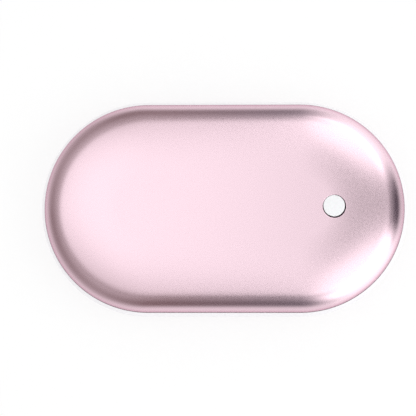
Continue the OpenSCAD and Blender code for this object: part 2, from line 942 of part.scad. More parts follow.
module heater_mosfets() {
    color(chip_black) for (place = mosfet_places) package(place, mosfet_size);
}

module power_inductor() {
    half = inductor_half * [1, 1];
    color(foam_grey) at_button() translate([inductor_place[0], inductor_place[1], board_top]) {
        linear_extrude(inductor_base) rounded(-half, half, inductor_corner);
        translate([0, 0, inductor_base]) cylinder(d = inductor_core_d, h = inductor_core_h);
        translate([0, 0, inductor_base + inductor_core_h]) linear_extrude(inductor_cap)
            rounded(-half, half, inductor_corner);
    }
}

module capacitors() {
    color(ceramic) for (place = capacitor_places) package(place, capacitor_size);
}

module chip_resistors() {
    color(chip_black) for (k = [0 : 5]) package([resistor_x, (k - 2.5) * resistor_pitch], resistor_size);
}

// Points of a smooth line through the given points, with so many steps between two of them
function smooth(points, steps) = let (last = len(points) - 1) concat(
    [for (i = [0 : last - 1], k = [0 : steps - 1])
        let (
            t = k / steps,
            p0 = points[max(0, i - 1)],
            p1 = points[i],
            p2 = points[i + 1],
            p3 = points[min(last, i + 2)]
        )
        p1 + t * (p2 - p0) / 2 + t ^ 2 * (2 * p0 - 5 * p1 + 4 * p2 - p3) / 2
            + t ^ 3 * (3 * p1 - p0 - 3 * p2 + p3) / 2],
    [points[last]]
);

function unit(v) = v / norm(v);

// Directions along a line, and the side directions that follow it without twisting
function ways(line) = [for (i = [0 : len(line) - 1])
    unit(line[min(i + 1, len(line) - 1)] - line[max(i - 1, 0)])];
function next_side(side, way) = unit(side - (side * way) * way);
function sides(way) = [for (i = 0, side = next_side([0.3, 0.9, 0.2], way[0]); i < len(way);
    i = i + 1, side = i < len(way) ? next_side(side, way[i]) : side) side];

// A wire along a line, as one tube with eight sides
module wire(points, diameter) {
    line = smooth(points, 4);
    way = ways(line);
    side = sides(way);
    count = len(line);
    rings = [for (i = [0 : count - 1], k = [0 : 7]) let (a = 45 * k, up = cross(way[i], side[i]))
        line[i] + diameter / 2 * (cos(a) * side[i] + sin(a) * up)];
    skin = [for (i = [0 : count - 2], k = [0 : 7]) let (n = (k + 1) % 8)
        [8 * i + k, 8 * i + n, 8 * i + 8 + n, 8 * i + 8 + k]];
    polyhedron(rings, concat([[for (k = [7 : -1 : 0]) k]], skin,
        [[for (k = [0 : 7]) 8 * (count - 1) + k]]));
}

module battery_lead_red() {
    color("red") lifted() wire(battery_route, lead_d);
}

module battery_lead_black() {
    color("black") lifted() wire([for (p = battery_route) p + lead_step], lead_d);
}

module top_heater_leads() {
    color("white") lifted() for (route = top_heater_routes) wire(route, wire_d);
}

module bottom_heater_leads() {
    color("white") lifted() for (route = bottom_heater_routes) wire(route, wire_d);
}

module thermistor_leads() {
    color("goldenrod") lifted() for (route = thermistor_routes) wire(route, fine_wire_d);
}

top_shell();
bottom_shell();
mid_frame();
top_liner();
bottom_liner();
power_button();
top_heater_film();
bottom_heater_film();
top_heater_track();
bottom_heater_track();
top_insulation();
bottom_insulation();
top_thermistor();
bottom_thermistor();
battery_cell();
battery_tabs();
protection_board();
protection_chips();
battery_lead_red();
battery_lead_black();
main_board();
board_screws();
usb_c_shell();
usb_c_tongue();
usb_c_contacts();
switch_base();
switch_cover();
switch_stem();
switch_dome();
switch_terminals();
indicator_leds();
charge_chip();
charge_chip_pins();
heater_mosfets();
power_inductor();
capacitors();
chip_resistors();
top_heater_leads();
bottom_heater_leads();
thermistor_leads();
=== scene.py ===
import math

import bmesh
import bpy
import numpy as np
from mathutils import Matrix, Vector


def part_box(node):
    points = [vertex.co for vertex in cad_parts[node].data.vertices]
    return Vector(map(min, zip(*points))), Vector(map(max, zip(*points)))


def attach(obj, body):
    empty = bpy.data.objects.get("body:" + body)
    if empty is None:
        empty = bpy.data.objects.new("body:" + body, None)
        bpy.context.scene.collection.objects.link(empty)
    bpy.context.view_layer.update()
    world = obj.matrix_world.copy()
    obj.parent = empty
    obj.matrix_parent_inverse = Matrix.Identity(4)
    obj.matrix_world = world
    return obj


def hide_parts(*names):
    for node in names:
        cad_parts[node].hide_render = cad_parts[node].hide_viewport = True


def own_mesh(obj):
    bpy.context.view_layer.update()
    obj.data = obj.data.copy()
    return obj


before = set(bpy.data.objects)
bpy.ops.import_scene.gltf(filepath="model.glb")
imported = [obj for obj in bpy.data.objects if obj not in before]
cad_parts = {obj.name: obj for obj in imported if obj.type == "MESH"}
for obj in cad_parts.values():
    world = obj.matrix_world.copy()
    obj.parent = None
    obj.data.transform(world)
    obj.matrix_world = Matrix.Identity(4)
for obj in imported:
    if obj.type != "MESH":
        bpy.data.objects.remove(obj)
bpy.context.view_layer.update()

MM = 0.001

# The body, in millimetres, about the middle plane of the belt, with the values of the CAD source
LENGTH, WIDTH, THICKNESS = 102.0, 60.0, 24.0
MID_Z = THICKNESS / 2
SPINE = (LENGTH - WIDTH) / 2
BELT_BULGE = 1.3
SHELL_HALF = WIDTH / 2 - BELT_BULGE
LEDGE = 3.8
WALL = 0.8

# A shell's section: a flat land, a crown arc, a rim arc and a straight wall down to the lip. The
# shading's bend grows over SOFT_BEND on each side of the place where crown and rim meet.
LAND = 8.0
RIM_RADIUS = 6.2
STRAIGHT = 0.4
RIM_CENTRE = (SHELL_HALF - RIM_RADIUS, LEDGE + STRAIGHT)
RISE = MID_Z - RIM_CENTRE[1]
RUN = RIM_CENTRE[0] - LAND
CROWN_RADIUS = (RUN ** 2 + RISE ** 2 - RIM_RADIUS ** 2) / (2 * (RISE - RIM_RADIUS))
CROWN_CENTRE = (LAND, MID_Z - CROWN_RADIUS)
CROWN_ANGLE = math.asin(RUN / (CROWN_RADIUS - RIM_RADIUS))
LIP_ROUND, LIP_CHAMFER = 0.14, 0.05
SOFT_BEND = 1.5

# The belt's section: a bulge outside, whose edge stands out past the shell by SEAM_STEP, a tongue
# behind each shell and a channel for the hooks
SEAM_STEP = 0.1
BULGE = BELT_BULGE - SEAM_STEP
BULGE_RADIUS = (LEDGE ** 2 + BULGE ** 2) / (2 * BULGE)
TONGUE_IN, TONGUE_OUT, TONGUE_Z = 26.3, 27.5, 5.4
TONGUE_IN_CHAMFER, TONGUE_OUT_CHAMFER = 0.1, 0.2
CHANNEL_OUT, CHANNEL_Z = 27.4, 2.2

# The fine groove at the seam, and the belt's edge beside it
GROOVE_IN, GROOVE_DEEP, GROOVE_TAPER = 0.16, 0.3, 0.02
EDGE_DROP, EDGE_IN, EDGE_ROUND = 0.1, 0.03, 0.06

# The charging socket's opening: a snug oval, a wider recess at its mouth, soft edges between them,
# and a flare outside the lip, as (distance past the lip, growth)
SOCKET_W, SOCKET_H = 8.94, 3.16
SOCKET_FROM, SOCKET_MOUTH = SPINE + 20, 50.4
SOCKET_GAP, SOCKET_RECESS, SOCKET_SOFT = 0.2, 0.5, 0.12
SOCKET_LIP = 0.1
SOCKET_FLARE = [(0.04, 0), (0.1, 0.05), (0.5, 0.3)]

# The button and its hole, whose cutter reaches from under the wall to over the face. The slope at
# the edge of the button's crown is in radians.
BUTTON_X = 30.0
HOLE_R, HOLE_ROUND = 3.12, 0.2
CUT_UNDER, CUT_OVER = 1.6, 1.0
BUTTON_R, BUTTON_EDGE, BUTTON_CROWN = 2.91, 0.15, 0.03
BUTTON_SLOPE = 0.04
BUTTON_PLAY = (-0.09, 0.14)
FLANGE_WALL, FLANGE_GAP = 0.7, 0.05
STEM_R = 1.5
FILLET, CHAMFER = 0.15, 0.1

# The wall of the switch's snap dome, in millimetres
DOME_WALL = 0.08

# How fine the meshes are: steps round each end and along each side of the body, steps of the flat
# parts and of the socket's ends, parts of a full turn, and steps of arcs in degrees
ARC_STEPS, STRAIGHT_STEPS = 160, 36
LAND_STEPS, CAP_STEPS, OVAL_STEPS = 6, 8, 40
HOLE_PARTS, BUTTON_PARTS, DOME_PARTS = 192, 128, 96
CROWN_ARC, RIM_ARC, LIP_ARC = 0.5, 2, 15
BULGE_ARC, EDGE_ARC, DOME_ARC = 1.5, 7.5, 1.5

# Points nearer than JOIN become one and faces thinner than FLAT go, both in metres. Edges that bend
# by more degrees than these stay sharp.
JOIN, FLAT = 1e-7, 1e-8
SHELL_SHARP, BELT_SHARP, BUTTON_SHARP = 40, 35, 50

# A corner takes its normal from the dome when it lies this near the dome's face, in millimetres,
# and the cosine between the two normals is over this. A point this near the spine has no direction.
ON_FACE, SAME_WAY, ON_SPINE = 0.01, 0.99, 1e-6

# Colours of what the photograph shows. The dyed oxide takes more of the light that meets it at a
# low angle.
ROSE = (0.99, 0.755, 0.842)
LOW_TINT = (0.62, 0.47, 0.53, 1.0)
PEARL = (0.92, 0.905, 0.93)
MILK = (0.88, 0.885, 0.90)

# No surface is smoother than this
SMOOTHEST = 0.02

# Painted shade in the belt's seam and on the button's sides, under its edge: colours, and in
# millimetres how far the seam's painted shade reaches past the shell and over what length each
# fades
SEAM_SHADE_COLOUR, GAP_SHADE_COLOUR = (0.46, 0.36, 0.40, 1), (0.13, 0.10, 0.12, 1)
SEAM_SHADE_REACH, SEAM_FADE, BUTTON_FADE = 0.2, 0.05, 0.1

# Materials of the inner pieces: the nodes, the material's name, its colour, its roughness and more
STEEL = dict(metal=1.0, cloud=(200.0, 0.04), grain=(900.0, 0.06))
INNER = [
    ("top_liner bottom_liner", "liner", (0.80, 0.79, 0.76), 0.55,
     dict(cloud=(90.0, 0.03), grain=(1500.0, 0.06))),
    ("top_heater_film bottom_heater_film", "polyimide", (0.62, 0.30, 0.05), 0.25,
     dict(cloud=(120.0, 0.10), grain=(700.0, 0.04),
          fixed={"Coat Weight": 0.4, "Coat Roughness": 0.1})),
    ("top_heater_track bottom_heater_track", "etched_foil", (0.62, 0.61, 0.58), 0.35,
     dict(stretch=(1, 12, 1), **STEEL)),
    ("top_insulation bottom_insulation", "foam", (0.10, 0.105, 0.12), 0.95,
     dict(cloud=(250.0, 0.15), grain=(1400.0, 0.05), bump=(0.25, 0.9))),
    ("top_thermistor bottom_thermistor", "sensor_glass", (0.45, 0.07, 0.03), 0.08,
     dict(cloud=(800.0, 0.10), fixed={"IOR": 1.52, "Coat Weight": 0.6})),
    ("battery_cell", "pouch_foil", (0.70, 0.71, 0.73), 0.38,
     dict(metal=1.0, cloud=(45.0, 0.03), grain=(160.0, 0.06), bump=(0.10, 0.35))),
    ("battery_tabs usb_c_shell switch_cover switch_dome switch_terminals charge_chip_pins",
     "plated_sheet", (0.72, 0.71, 0.70), 0.24, dict(stretch=(1, 1, 9), **STEEL)),
    ("protection_board main_board", "solder_mask", (0.02, 0.13, 0.06), 0.30,
     dict(cloud=(120.0, 0.15), grain=(1100.0, 0.08), bump=(0.02, 0.5),
          fixed={"Coat Weight": 0.3})),
    ("protection_chips charge_chip heater_mosfets chip_resistors", "chip_black",
     (0.022, 0.022, 0.024), 0.55,
     dict(cloud=(500.0, 0.15), grain=(5200.0, 0.10), bump=(0.015, 0.8))),
    ("battery_lead_red", "lead_red", (0.50, 0.02, 0.02), 0.42, dict(cloud=(300.0, 0.08))),
    ("battery_lead_black", "lead_black", (0.02, 0.02, 0.02), 0.42, dict(cloud=(300.0, 0.10))),
    ("top_heater_leads bottom_heater_leads", "lead_white", (0.78, 0.77, 0.74), 0.45,
     dict(cloud=(300.0, 0.04))),
    ("thermistor_leads", "lead_yellow", (0.66, 0.44, 0.05), 0.40, dict(cloud=(300.0, 0.08))),
    ("board_screws", "zinc", (0.60, 0.60, 0.62), 0.33, STEEL),
    ("usb_c_tongue switch_base switch_stem", "moulded_black", (0.028, 0.028, 0.030), 0.45,
     dict(cloud=(400.0, 0.12), grain=(3200.0, 0.08), bump=(0.015, 0.6))),
    ("usb_c_contacts", "gold", (0.90, 0.62, 0.25), 0.20, STEEL),
    ("indicator_leds", "led_lens", (0.86, 0.80, 0.52), 0.18,
     dict(cloud=(900.0, 0.06), fixed={"Transmission Weight": 0.3, "IOR": 1.5})),
    ("power_inductor", "ferrite", (0.075, 0.075, 0.08), 0.75,
     dict(cloud=(500.0, 0.15), grain=(3600.0, 0.10), bump=(0.03, 0.8))),
    ("capacitors", "ceramic", (0.42, 0.30, 0.18), 0.40, dict(cloud=(900.0, 0.08))),
]

# The floor: its half size in metres, the share of the real shadow that shows on it, and how far
# from the middle that reaches, in metres. The share is full up to a part of the reach.
WHITE = (1, 1, 1, 1)
FLOOR_MATT = (0.96, 0.96, 0.96, 1)
FLOOR_HALF = 0.9
SHADOW_SHARE = 0.22
SHADOW_REACH, SHADOW_FULL = 0.085, 0.65

# See-through sheets stand round the object, as a studio draws the edge of a metal body. Only
# reflections see them. Each has a section, by elevation in degrees as seen from the bend of the
# shell, and factors round the object, by angle from +X, which multiply how dense it is. The reach
# of the veil stretches its elevations.
VEIL = [(-16, 0), (-10, 0.25), (-4, 0.56), (2, 0.80), (8, 0.86), (20, 0.86), (30, 0.81), (40, 0.75),
        (52, 0.69), (57, 0.06), (64, 0.03), (70, 0)]
VEIL_ROUND = [(-180, 0.98), (-150, 0.93), (-125, 0.88), (-105, 0.96), (-90, 1.07), (-82, 1.0),
              (-76, 0.7), (-70, 0.42), (-62, 0.12), (-55, 0), (-28, 0), (-20, 0.15), (-14, 0.52),
              (-8, 1.13), (0, 1.16), (8, 1.16), (16, 1.0), (23, 0.55), (29, 0.17), (35, 0), (60, 0),
              (72, 0.3), (80, 0.65), (90, 0.98), (105, 1.0), (125, 0.9), (150, 0.86), (180, 0.94)]
VEIL_REACH = [(-180, 1.01), (-150, 1.09), (-125, 1.09), (-90, 1.08), (-70, 1.0), (90, 1.03),
              (105, 1.10), (125, 1.07), (150, 1.01), (180, 1.01)]
SKIRT = [(-66, 0.12), (-45, 0.18), (-30, 0.30), (-18, 0.46), (-10, 0.48), (-4, 0.3), (2, 0)]
SKIRT_ROUND = [(-180, 1.0), (-125, 1.0), (-105, 0.85), (-90, 0.65), (-66, 0.3), (-30, 0.2),
               (-15, 0.1), (-6, 0.7), (5, 0.9), (18, 0.6), (30, 0.2), (54, 0.1), (78, 0.3),
               (90, 0.55), (105, 0.78), (125, 1.15), (150, 1.1), (180, 1.0)]
HAZE = [(48, 0), (54, 0.34), (60, 0.45), (66, 0.41), (72, 0.19), (78, 0.06), (83, 0)]
HAZE_ROUND = [(-180, 0.1), (-150, 0.6), (-125, 1.0), (-105, 1.0), (-90, 0.75), (-75, 0.3), (-60, 0),
              (75, 0), (90, 0.4), (105, 0.3), (125, 0.15), (150, 0.05), (180, 0.1)]
GLOW_FRONT = [(-54, 0), (-44, 0.2), (-36, 0.38), (-30, 0.58), (-18, 0.95), (-8, 1), (10, 1),
              (18, 0)]
GLOW_FRONT_ROUND = [(-180, 0), (-72, 0), (-58, 1), (-24, 1), (-14, 0), (180, 0)]
GLOW_BACK = [(-50, 0), (-36, 0.14), (-24, 0.20), (-12, 0.18), (0, 0.18), (12, 0.20), (24, 0.36),
             (36, 0.55), (46, 0)]
GLOW_BACK_ROUND = [(-180, 0), (14, 0), (30, 1), (64, 1), (80, 0), (180, 0)]

# In millimetres: the bend of the shell, by distance from the spine and height over the floor, and
# the least height of a sheet
BEND_OFF, BEND_HIGH, SHEET_LOW = 26.0, 20.0, 1.0

# Colours of the sheets at the object's left end and at its right end
SHADE = ((0.08, 0.027, 0.026), (0.03, 0.018, 0.034))
BRIGHT = ((1.4, 1.4, 1.4), (1.4, 1.4, 1.4))
BLACK = ((0, 0, 0), (0, 0, 0))

# The sheets, with their distance from the spine in millimetres
SHEETS = [("veil", 60, VEIL, VEIL_ROUND, SHADE, VEIL_REACH),
          ("skirt", 61, SKIRT, SKIRT_ROUND, SHADE),
          ("haze", 59, HAZE, HAZE_ROUND, SHADE),
          ("glow_front", 63, GLOW_FRONT, GLOW_FRONT_ROUND, BRIGHT),
          ("glow_back", 63, GLOW_BACK, GLOW_BACK_ROUND, BRIGHT)]

# A grey see-through ceiling over the right half: its height and half width in metres, and how
# dense it is by distance along +X in metres
CEILING_HIGH, CEILING_HALF = 1.5, 1.6
CEILING = [(-0.02, 0), (0.04, 0.07), (0.09, 0.16), (0.18, 0.31), (0.31, 0.48), (0.47, 0.61),
           (0.7, 0.64), (0.95, 0.61), (1.2, 0)]

# Lamps: angle from +X and elevation in degrees, distance and face in metres, and whether the lamp
# shows in reflections, or else lights matt surfaces. All have one radiance.
LAMP_LEVEL = 1.0
LAMPS = [("lamp_back_right", 54, 45, 0.75, (0.61, 0.54), True),
         ("lamp_front_right", -43, 32, 0.75, (0.84, 1.17), True),
         ("key", -15, 45, 0.9, (0.7, 0.7), False)]

# The world's levels: for lit surfaces, in reflections and how much more that is to the left, and
# for the camera and through glass. The rise lies between two values of the direction's X.
DIFFUSE_SKY, GLOSSY_SKY, SKY_RISE, PLAIN_SKY = 1.0, 1.07, 0.05, 1.0
RISE_LEFT, RISE_RIGHT = -0.25, 0.05

# The camera looks down on the button's side, a few degrees from the near side and from the right
DISTANCE = 0.40
ELEVATION, LEAN = math.radians(86.2), math.radians(1.4)
PIXELS_PER_MM = 3.575
FRAME_PIXELS = 416
SENSOR = 36.0
NEAREST, FARTHEST = 0.01, 10
LOOK_AT = Vector((-4.55, 0.35, MID_Z)) * MM


def link_object(name, data):
    """A new object in the scene."""
    thing = bpy.data.objects.new(name, data)
    bpy.context.scene.collection.objects.link(thing)
    return thing


def weld(mesh):
    """Joins points that coincide, drops faces without area and turns all normals outward."""
    bm = bmesh.new()
    bm.from_mesh(mesh)
    bmesh.ops.remove_doubles(bm, verts=bm.verts, dist=JOIN)
    bmesh.ops.dissolve_degenerate(bm, edges=bm.edges, dist=FLAT)
    bmesh.ops.recalc_face_normals(bm, faces=bm.faces)
    bm.to_mesh(mesh)
    bm.free()


def new_piece(name, points, faces, body):
    """A smooth piece, from points in millimetres about the middle plane, that rides on a body."""
    mesh = bpy.data.meshes.new(name)
    placed = (np.asarray(points, float) + (0, 0, MID_Z)) * MM
    mesh.from_pydata(placed.tolist(), [], faces)
    weld(mesh)
    mesh.shade_smooth()
    piece = link_object(name, mesh)
    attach(piece, body)
    return piece


def cut_away(piece, cutter):
    """Cuts a piece with a closed mesh and removes that mesh."""
    cut = piece.modifiers.new("cut", "BOOLEAN")
    cut.object, cut.operation, cut.solver = cutter, "DIFFERENCE", "EXACT"
    graph = bpy.context.evaluated_depsgraph_get()
    mesh = bpy.data.meshes.new_from_object(piece.evaluated_get(graph), depsgraph=graph)
    piece.modifiers.clear()
    old, piece.data = piece.data, mesh
    bpy.data.meshes.remove(old)
    bpy.data.objects.remove(cutter)
    mesh.shade_smooth()


def half_turn(end, steps):
    """Directions round one end of an oblong, the end at +1 or the end at -1."""
    for k in range(steps + 1):
        a = math.pi * (k / steps - 0.5) + (0 if end > 0 else math.pi)
        yield math.cos(a), math.sin(a)


def path():
    """Columns round the body: a point of the spine and the direction away from it."""
    columns = []
    for end in (1, -1):
        columns += [(end * SPINE, ux, uy) for ux, uy in half_turn(end, ARC_STEPS)]
        for k in range(1, STRAIGHT_STEPS):
            columns.append((end * SPINE * (1 - 2 * k / STRAIGHT_STEPS), 0.0, float(end)))
    return columns


def grid(columns, rows, round_columns=True, round_rows=False):
    """Faces between points that are listed column by column. Round ones close on themselves."""
    faces = []
    for c in range(columns if round_columns else columns - 1):
        here, there = c * rows, (c + 1) % columns * rows
        for r in range(rows if round_rows else rows - 1):
            n = (r + 1) % rows
            faces.append((here + r, there + r, there + n, here + n))
    return faces


def sweep(name, profile, body, closed=False):
    """Sweeps a section of (distance from the spine, height) points round the whole body."""
    columns = path()
    points = [(x + d * ux, d * uy, z) for x, ux, uy in columns for d, z in profile]
    return new_piece(name, points, grid(len(columns), len(profile), round_rows=closed), body)


def arc(centre, radius, start, end, step):
    """Points of an arc. Angles are from straight up, in radians, and step is in degrees."""
    count = max(2, round(abs(end - start) / math.radians(step)))
    turns = [start + (end - start) * k / count for k in range(count + 1)]
    return [(centre[0] + radius * math.sin(t), centre[1] + radius * math.cos(t)) for t in turns]


def drop(x, y):
    """How far the domed face lies under its land at a point on the crown."""
    d = math.hypot(max(0, abs(x) - SPINE), y)
    over = max(0, d - LAND)
    return CROWN_RADIUS - math.sqrt(CROWN_RADIUS ** 2 - over ** 2)


def lathe(name, profile, parts, follow=False):
    """Turns a section of (radius, height) points about the button's axis. It rides on the housing.
    Where follow is set, heights are measured from the domed face."""
    points = []
    for s in range(parts):
        a = 2 * math.pi * s / parts
        for r, z in profile:
            x, y = BUTTON_X + r * math.cos(a), r * math.sin(a)
            points.append((x, y, z + (MID_Z - drop(x, y) if follow else 0)))
    return new_piece(name, points, grid(parts, len(profile)), "housing")


def dome(inset):
    """The domed face at an inset, from the middle line out to the end of its rim."""
    flat = [(d, MID_Z - inset) for d in np.linspace(0, LAND, LAND_STEPS, endpoint=False)]
    crown = arc(CROWN_CENTRE, CROWN_RADIUS - inset, 0, CROWN_ANGLE, CROWN_ARC)
    rim = arc(RIM_CENTRE, RIM_RADIUS - inset, CROWN_ANGLE, math.pi / 2, RIM_ARC)
    return flat + crown[:-1] + rim


def shell_profile():
    """The section of a shell: outer face, rounded lip, inner face."""
    lip = arc((SHELL_HALF - LIP_ROUND, LEDGE + LIP_ROUND), LIP_ROUND, math.pi / 2, math.pi, LIP_ARC)
    chamfer = [(SHELL_HALF - WALL + LIP_CHAMFER, LEDGE), (SHELL_HALF - WALL, LEDGE + LIP_CHAMFER)]
    return dome(0) + lip + chamfer + dome(WALL)[::-1]


def hole_cutter():
    """The button's hole, whose upper edge rolls over."""
    roll = arc((HOLE_R + HOLE_ROUND, -HOLE_ROUND), HOLE_ROUND, -math.pi / 2, 0, EDGE_ARC)
    profile = [(0, -CUT_UNDER), (HOLE_R, -CUT_UNDER)] + roll
    profile += [(HOLE_R + HOLE_ROUND, CUT_OVER), (0, CUT_OVER)]
    return lathe("hole_cutter", profile, HOLE_PARTS, follow=True)


def dome_angle(d, z):
    """Angle of the domed face's normal from straight up. The bend grows gradually over a short
    length on both sides of the place where crown and rim meet."""
    crown = math.atan2(max(0, d - CROWN_CENTRE[0]), z - CROWN_CENTRE[1])
    rim = math.atan2(d - RIM_CENTRE[0], max(z - RIM_CENTRE[1], 0))
    on_crown = crown <= CROWN_ANGLE
    along = (crown - CROWN_ANGLE) * CROWN_RADIUS if on_crown else (rim - CROWN_ANGLE) * RIM_RADIUS
    if abs(along) < SOFT_BEND:
        more = 1 / RIM_RADIUS - 1 / CROWN_RADIUS
        return (CROWN_ANGLE + along / CROWN_RADIUS
                + more * (along + SOFT_BEND) ** 2 / (4 * SOFT_BEND))
    return crown if on_crown else min(math.pi / 2, rim)


def outside(d, z):
    """True on the outer face of a shell."""
    if d <= LAND:
        return abs(z - MID_Z) < ON_FACE
    crown = abs(math.hypot(d - CROWN_CENTRE[0], z - CROWN_CENTRE[1]) - CROWN_RADIUS)
    rim = abs(math.hypot(d - RIM_CENTRE[0], z - RIM_CENTRE[1]) - RIM_RADIUS)
    return min(crown, rim) < ON_FACE or abs(d - SHELL_HALF) < ON_FACE


def true_normals(piece, sign):
    """Gives the outer face the exact normals of its dome, so that reflections run smoothly
    past the hole. sign is 1 for the top shell."""
    mesh = piece.data
    normals = [(0, 0, 0)] * len(mesh.loops)
    for face in mesh.polygons:
        exact = {}
        for i in face.loop_indices:
            point = mesh.vertices[mesh.loops[i].vertex_index].co / MM
            z = sign * (point.z - MID_Z)
            past = point.x - max(-SPINE, min(SPINE, point.x))
            d = math.hypot(past, point.y)
            if z <= LEDGE + 2 * LIP_ROUND or not outside(d, z):
                break
            a = dome_angle(d, z)
            ux, uy = (past / d, point.y / d) if d > ON_SPINE else (0, 0)
            normal = Vector((ux * math.sin(a), uy * math.sin(a), sign * math.cos(a)))
            if normal.dot(face.normal) <= SAME_WAY:
                break
            exact[i] = tuple(normal)
        if len(exact) == len(face.loop_indices):
            for i, normal in exact.items():
                normals[i] = normal
    mesh.normals_split_custom_set(normals)


def make_shell(name, node, sign):
    """A shell. sign is 1 for the top one, which has the button's hole, and -1 for the bottom."""
    profile = [(d, sign * z) for d, z in shell_profile()]
    piece = sweep(name, profile, "housing")
    if sign > 0:
        cut_away(piece, hole_cutter())
    piece.data.set_sharp_from_angle(angle=math.radians(SHELL_SHARP))
    true_normals(piece, sign)
    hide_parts(node)
    return piece


def belt_profile():
    """The section of the belt: bulged outside, a ledge with a fine groove for each shell, and the
    hook channel."""
    top = math.acos((LEDGE - EDGE_DROP) / BULGE_RADIUS)
    bulge = arc((WIDTH / 2 - BULGE_RADIUS, 0), BULGE_RADIUS, top, math.pi - top, BULGE_ARC)
    edge = bulge[0][0]
    groove = SHELL_HALF - GROOVE_IN
    corner = [(TONGUE_OUT, LEDGE), (groove, LEDGE), (groove + GROOVE_TAPER, LEDGE - GROOVE_DEEP),
              (edge - EDGE_IN, LEDGE - GROOVE_DEEP),
              (edge - EDGE_IN / 2, LEDGE - EDGE_DROP - EDGE_ROUND)]
    upper = [(TONGUE_IN + TONGUE_IN_CHAMFER, TONGUE_Z), (TONGUE_OUT - TONGUE_OUT_CHAMFER, TONGUE_Z),
             (TONGUE_OUT, TONGUE_Z - TONGUE_OUT_CHAMFER)]
    lower = [(d, -z) for d, z in (upper + corner)[::-1]]
    channel = [(TONGUE_IN, -TONGUE_Z + TONGUE_IN_CHAMFER), (TONGUE_IN, -CHANNEL_Z),
               (CHANNEL_OUT, -CHANNEL_Z), (CHANNEL_OUT, CHANNEL_Z), (TONGUE_IN, CHANNEL_Z),
               (TONGUE_IN, TONGUE_Z - TONGUE_IN_CHAMFER)]
    return upper + corner + bulge + lower + channel


def oval(w, h, x):
    """Points of a flat oval that faces along the body."""
    half, r = (w - h) / 2, h / 2
    return [(x, end * half + r * uy, r * uz)
            for end in (1, -1) for uy, uz in half_turn(end, OVAL_STEPS)]


def socket_cutter():
    """The socket's opening: a snug oval with a wider recess at its mouth, both with soft edges."""
    tight, wide = SOCKET_GAP, SOCKET_GAP + SOCKET_RECESS
    soft, lip = SOCKET_SOFT, SOCKET_MOUTH + SOCKET_LIP
    rings = [(SOCKET_FROM, tight), (SOCKET_MOUTH - soft, tight), (SOCKET_MOUTH, tight + soft),
             (SOCKET_MOUTH, wide - soft), (SOCKET_MOUTH + soft, wide)]
    rings += [(lip + past, wide + more) for past, more in SOCKET_FLARE]
    points = []
    for x, grow in rings:
        points += oval(SOCKET_W + 2 * grow, SOCKET_H + 2 * grow, x)
    count = len(points) // len(rings)
    faces = grid(len(rings), count, round_columns=False, round_rows=True)
    faces.append(tuple(range(count))[::-1])
    faces.append(tuple(range(len(points) - count, len(points))))
    return new_piece("socket_cutter", points, faces, "housing")


def make_belt():
    """The belt, with the socket's opening."""
    piece = sweep("belt", belt_profile(), "housing", closed=True)
    cut_away(piece, socket_cutter())
    piece.data.set_sharp_from_angle(angle=math.radians(BELT_SHARP))
    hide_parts("mid_frame")
    return piece


def make_button():
    """The button: a cap with soft edges, a flange under the shell and a stem. The cap stands to
    one side of its hole, by its play."""
    low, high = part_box("power_button")
    face, foot = high.z / MM - MID_Z, low.z / MM - MID_Z
    flange_r = (high.y - low.y) / 2 / MM
    flange_top = MID_Z - WALL - drop(BUTTON_X + flange_r, 0) - FLANGE_GAP
    flange = flange_top - FLANGE_WALL
    cap_r = BUTTON_R - BUTTON_EDGE
    top = [(r, face - BUTTON_CROWN * (r / cap_r) ** 2)
           for r in np.linspace(0, cap_r, CAP_STEPS, endpoint=False)]
    edge = arc((cap_r, face - BUTTON_CROWN - BUTTON_EDGE), BUTTON_EDGE,
               BUTTON_SLOPE, math.pi / 2, EDGE_ARC)
    profile = top + edge + [
        (BUTTON_R, flange_top + FILLET), (BUTTON_R + FILLET, flange_top),
        (flange_r - CHAMFER, flange_top), (flange_r, flange_top - CHAMFER),
        (flange_r, flange + CHAMFER), (flange_r - CHAMFER, flange),
        (STEM_R + FILLET, flange), (STEM_R, flange - FILLET),
        (STEM_R, foot + CHAMFER), (STEM_R - CHAMFER, foot), (0, foot)]
    piece = lathe("button_cap", profile, BUTTON_PARTS)
    for vertex in piece.data.vertices:
        if vertex.co.z / MM - MID_Z > flange_top + CHAMFER:
            vertex.co += Vector((*BUTTON_PLAY, 0)) * MM
    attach(piece, "button")
    piece.data.set_sharp_from_angle(angle=math.radians(BUTTON_SHARP))
    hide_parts("power_button")
    return piece


def make_dome():
    """The switch's snap dome, a thin cap of a sphere."""
    low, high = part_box("switch_dome")
    foot, rise = low.z / MM - MID_Z, (high.z - low.z) / MM - DOME_WALL
    reach = (high.y - low.y) / 2 / MM
    radius = (reach ** 2 + rise ** 2) / (2 * rise)
    centre = (0, foot + rise - radius)
    over = radius + DOME_WALL
    outer = arc(centre, over, 0, math.asin(reach / over), DOME_ARC)
    inner = arc(centre, radius, math.asin(reach / radius), 0, DOME_ARC)
    piece = lathe("snap_dome", outer + inner, DOME_PARTS)
    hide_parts("switch_dome")
    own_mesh(piece)
    return piece


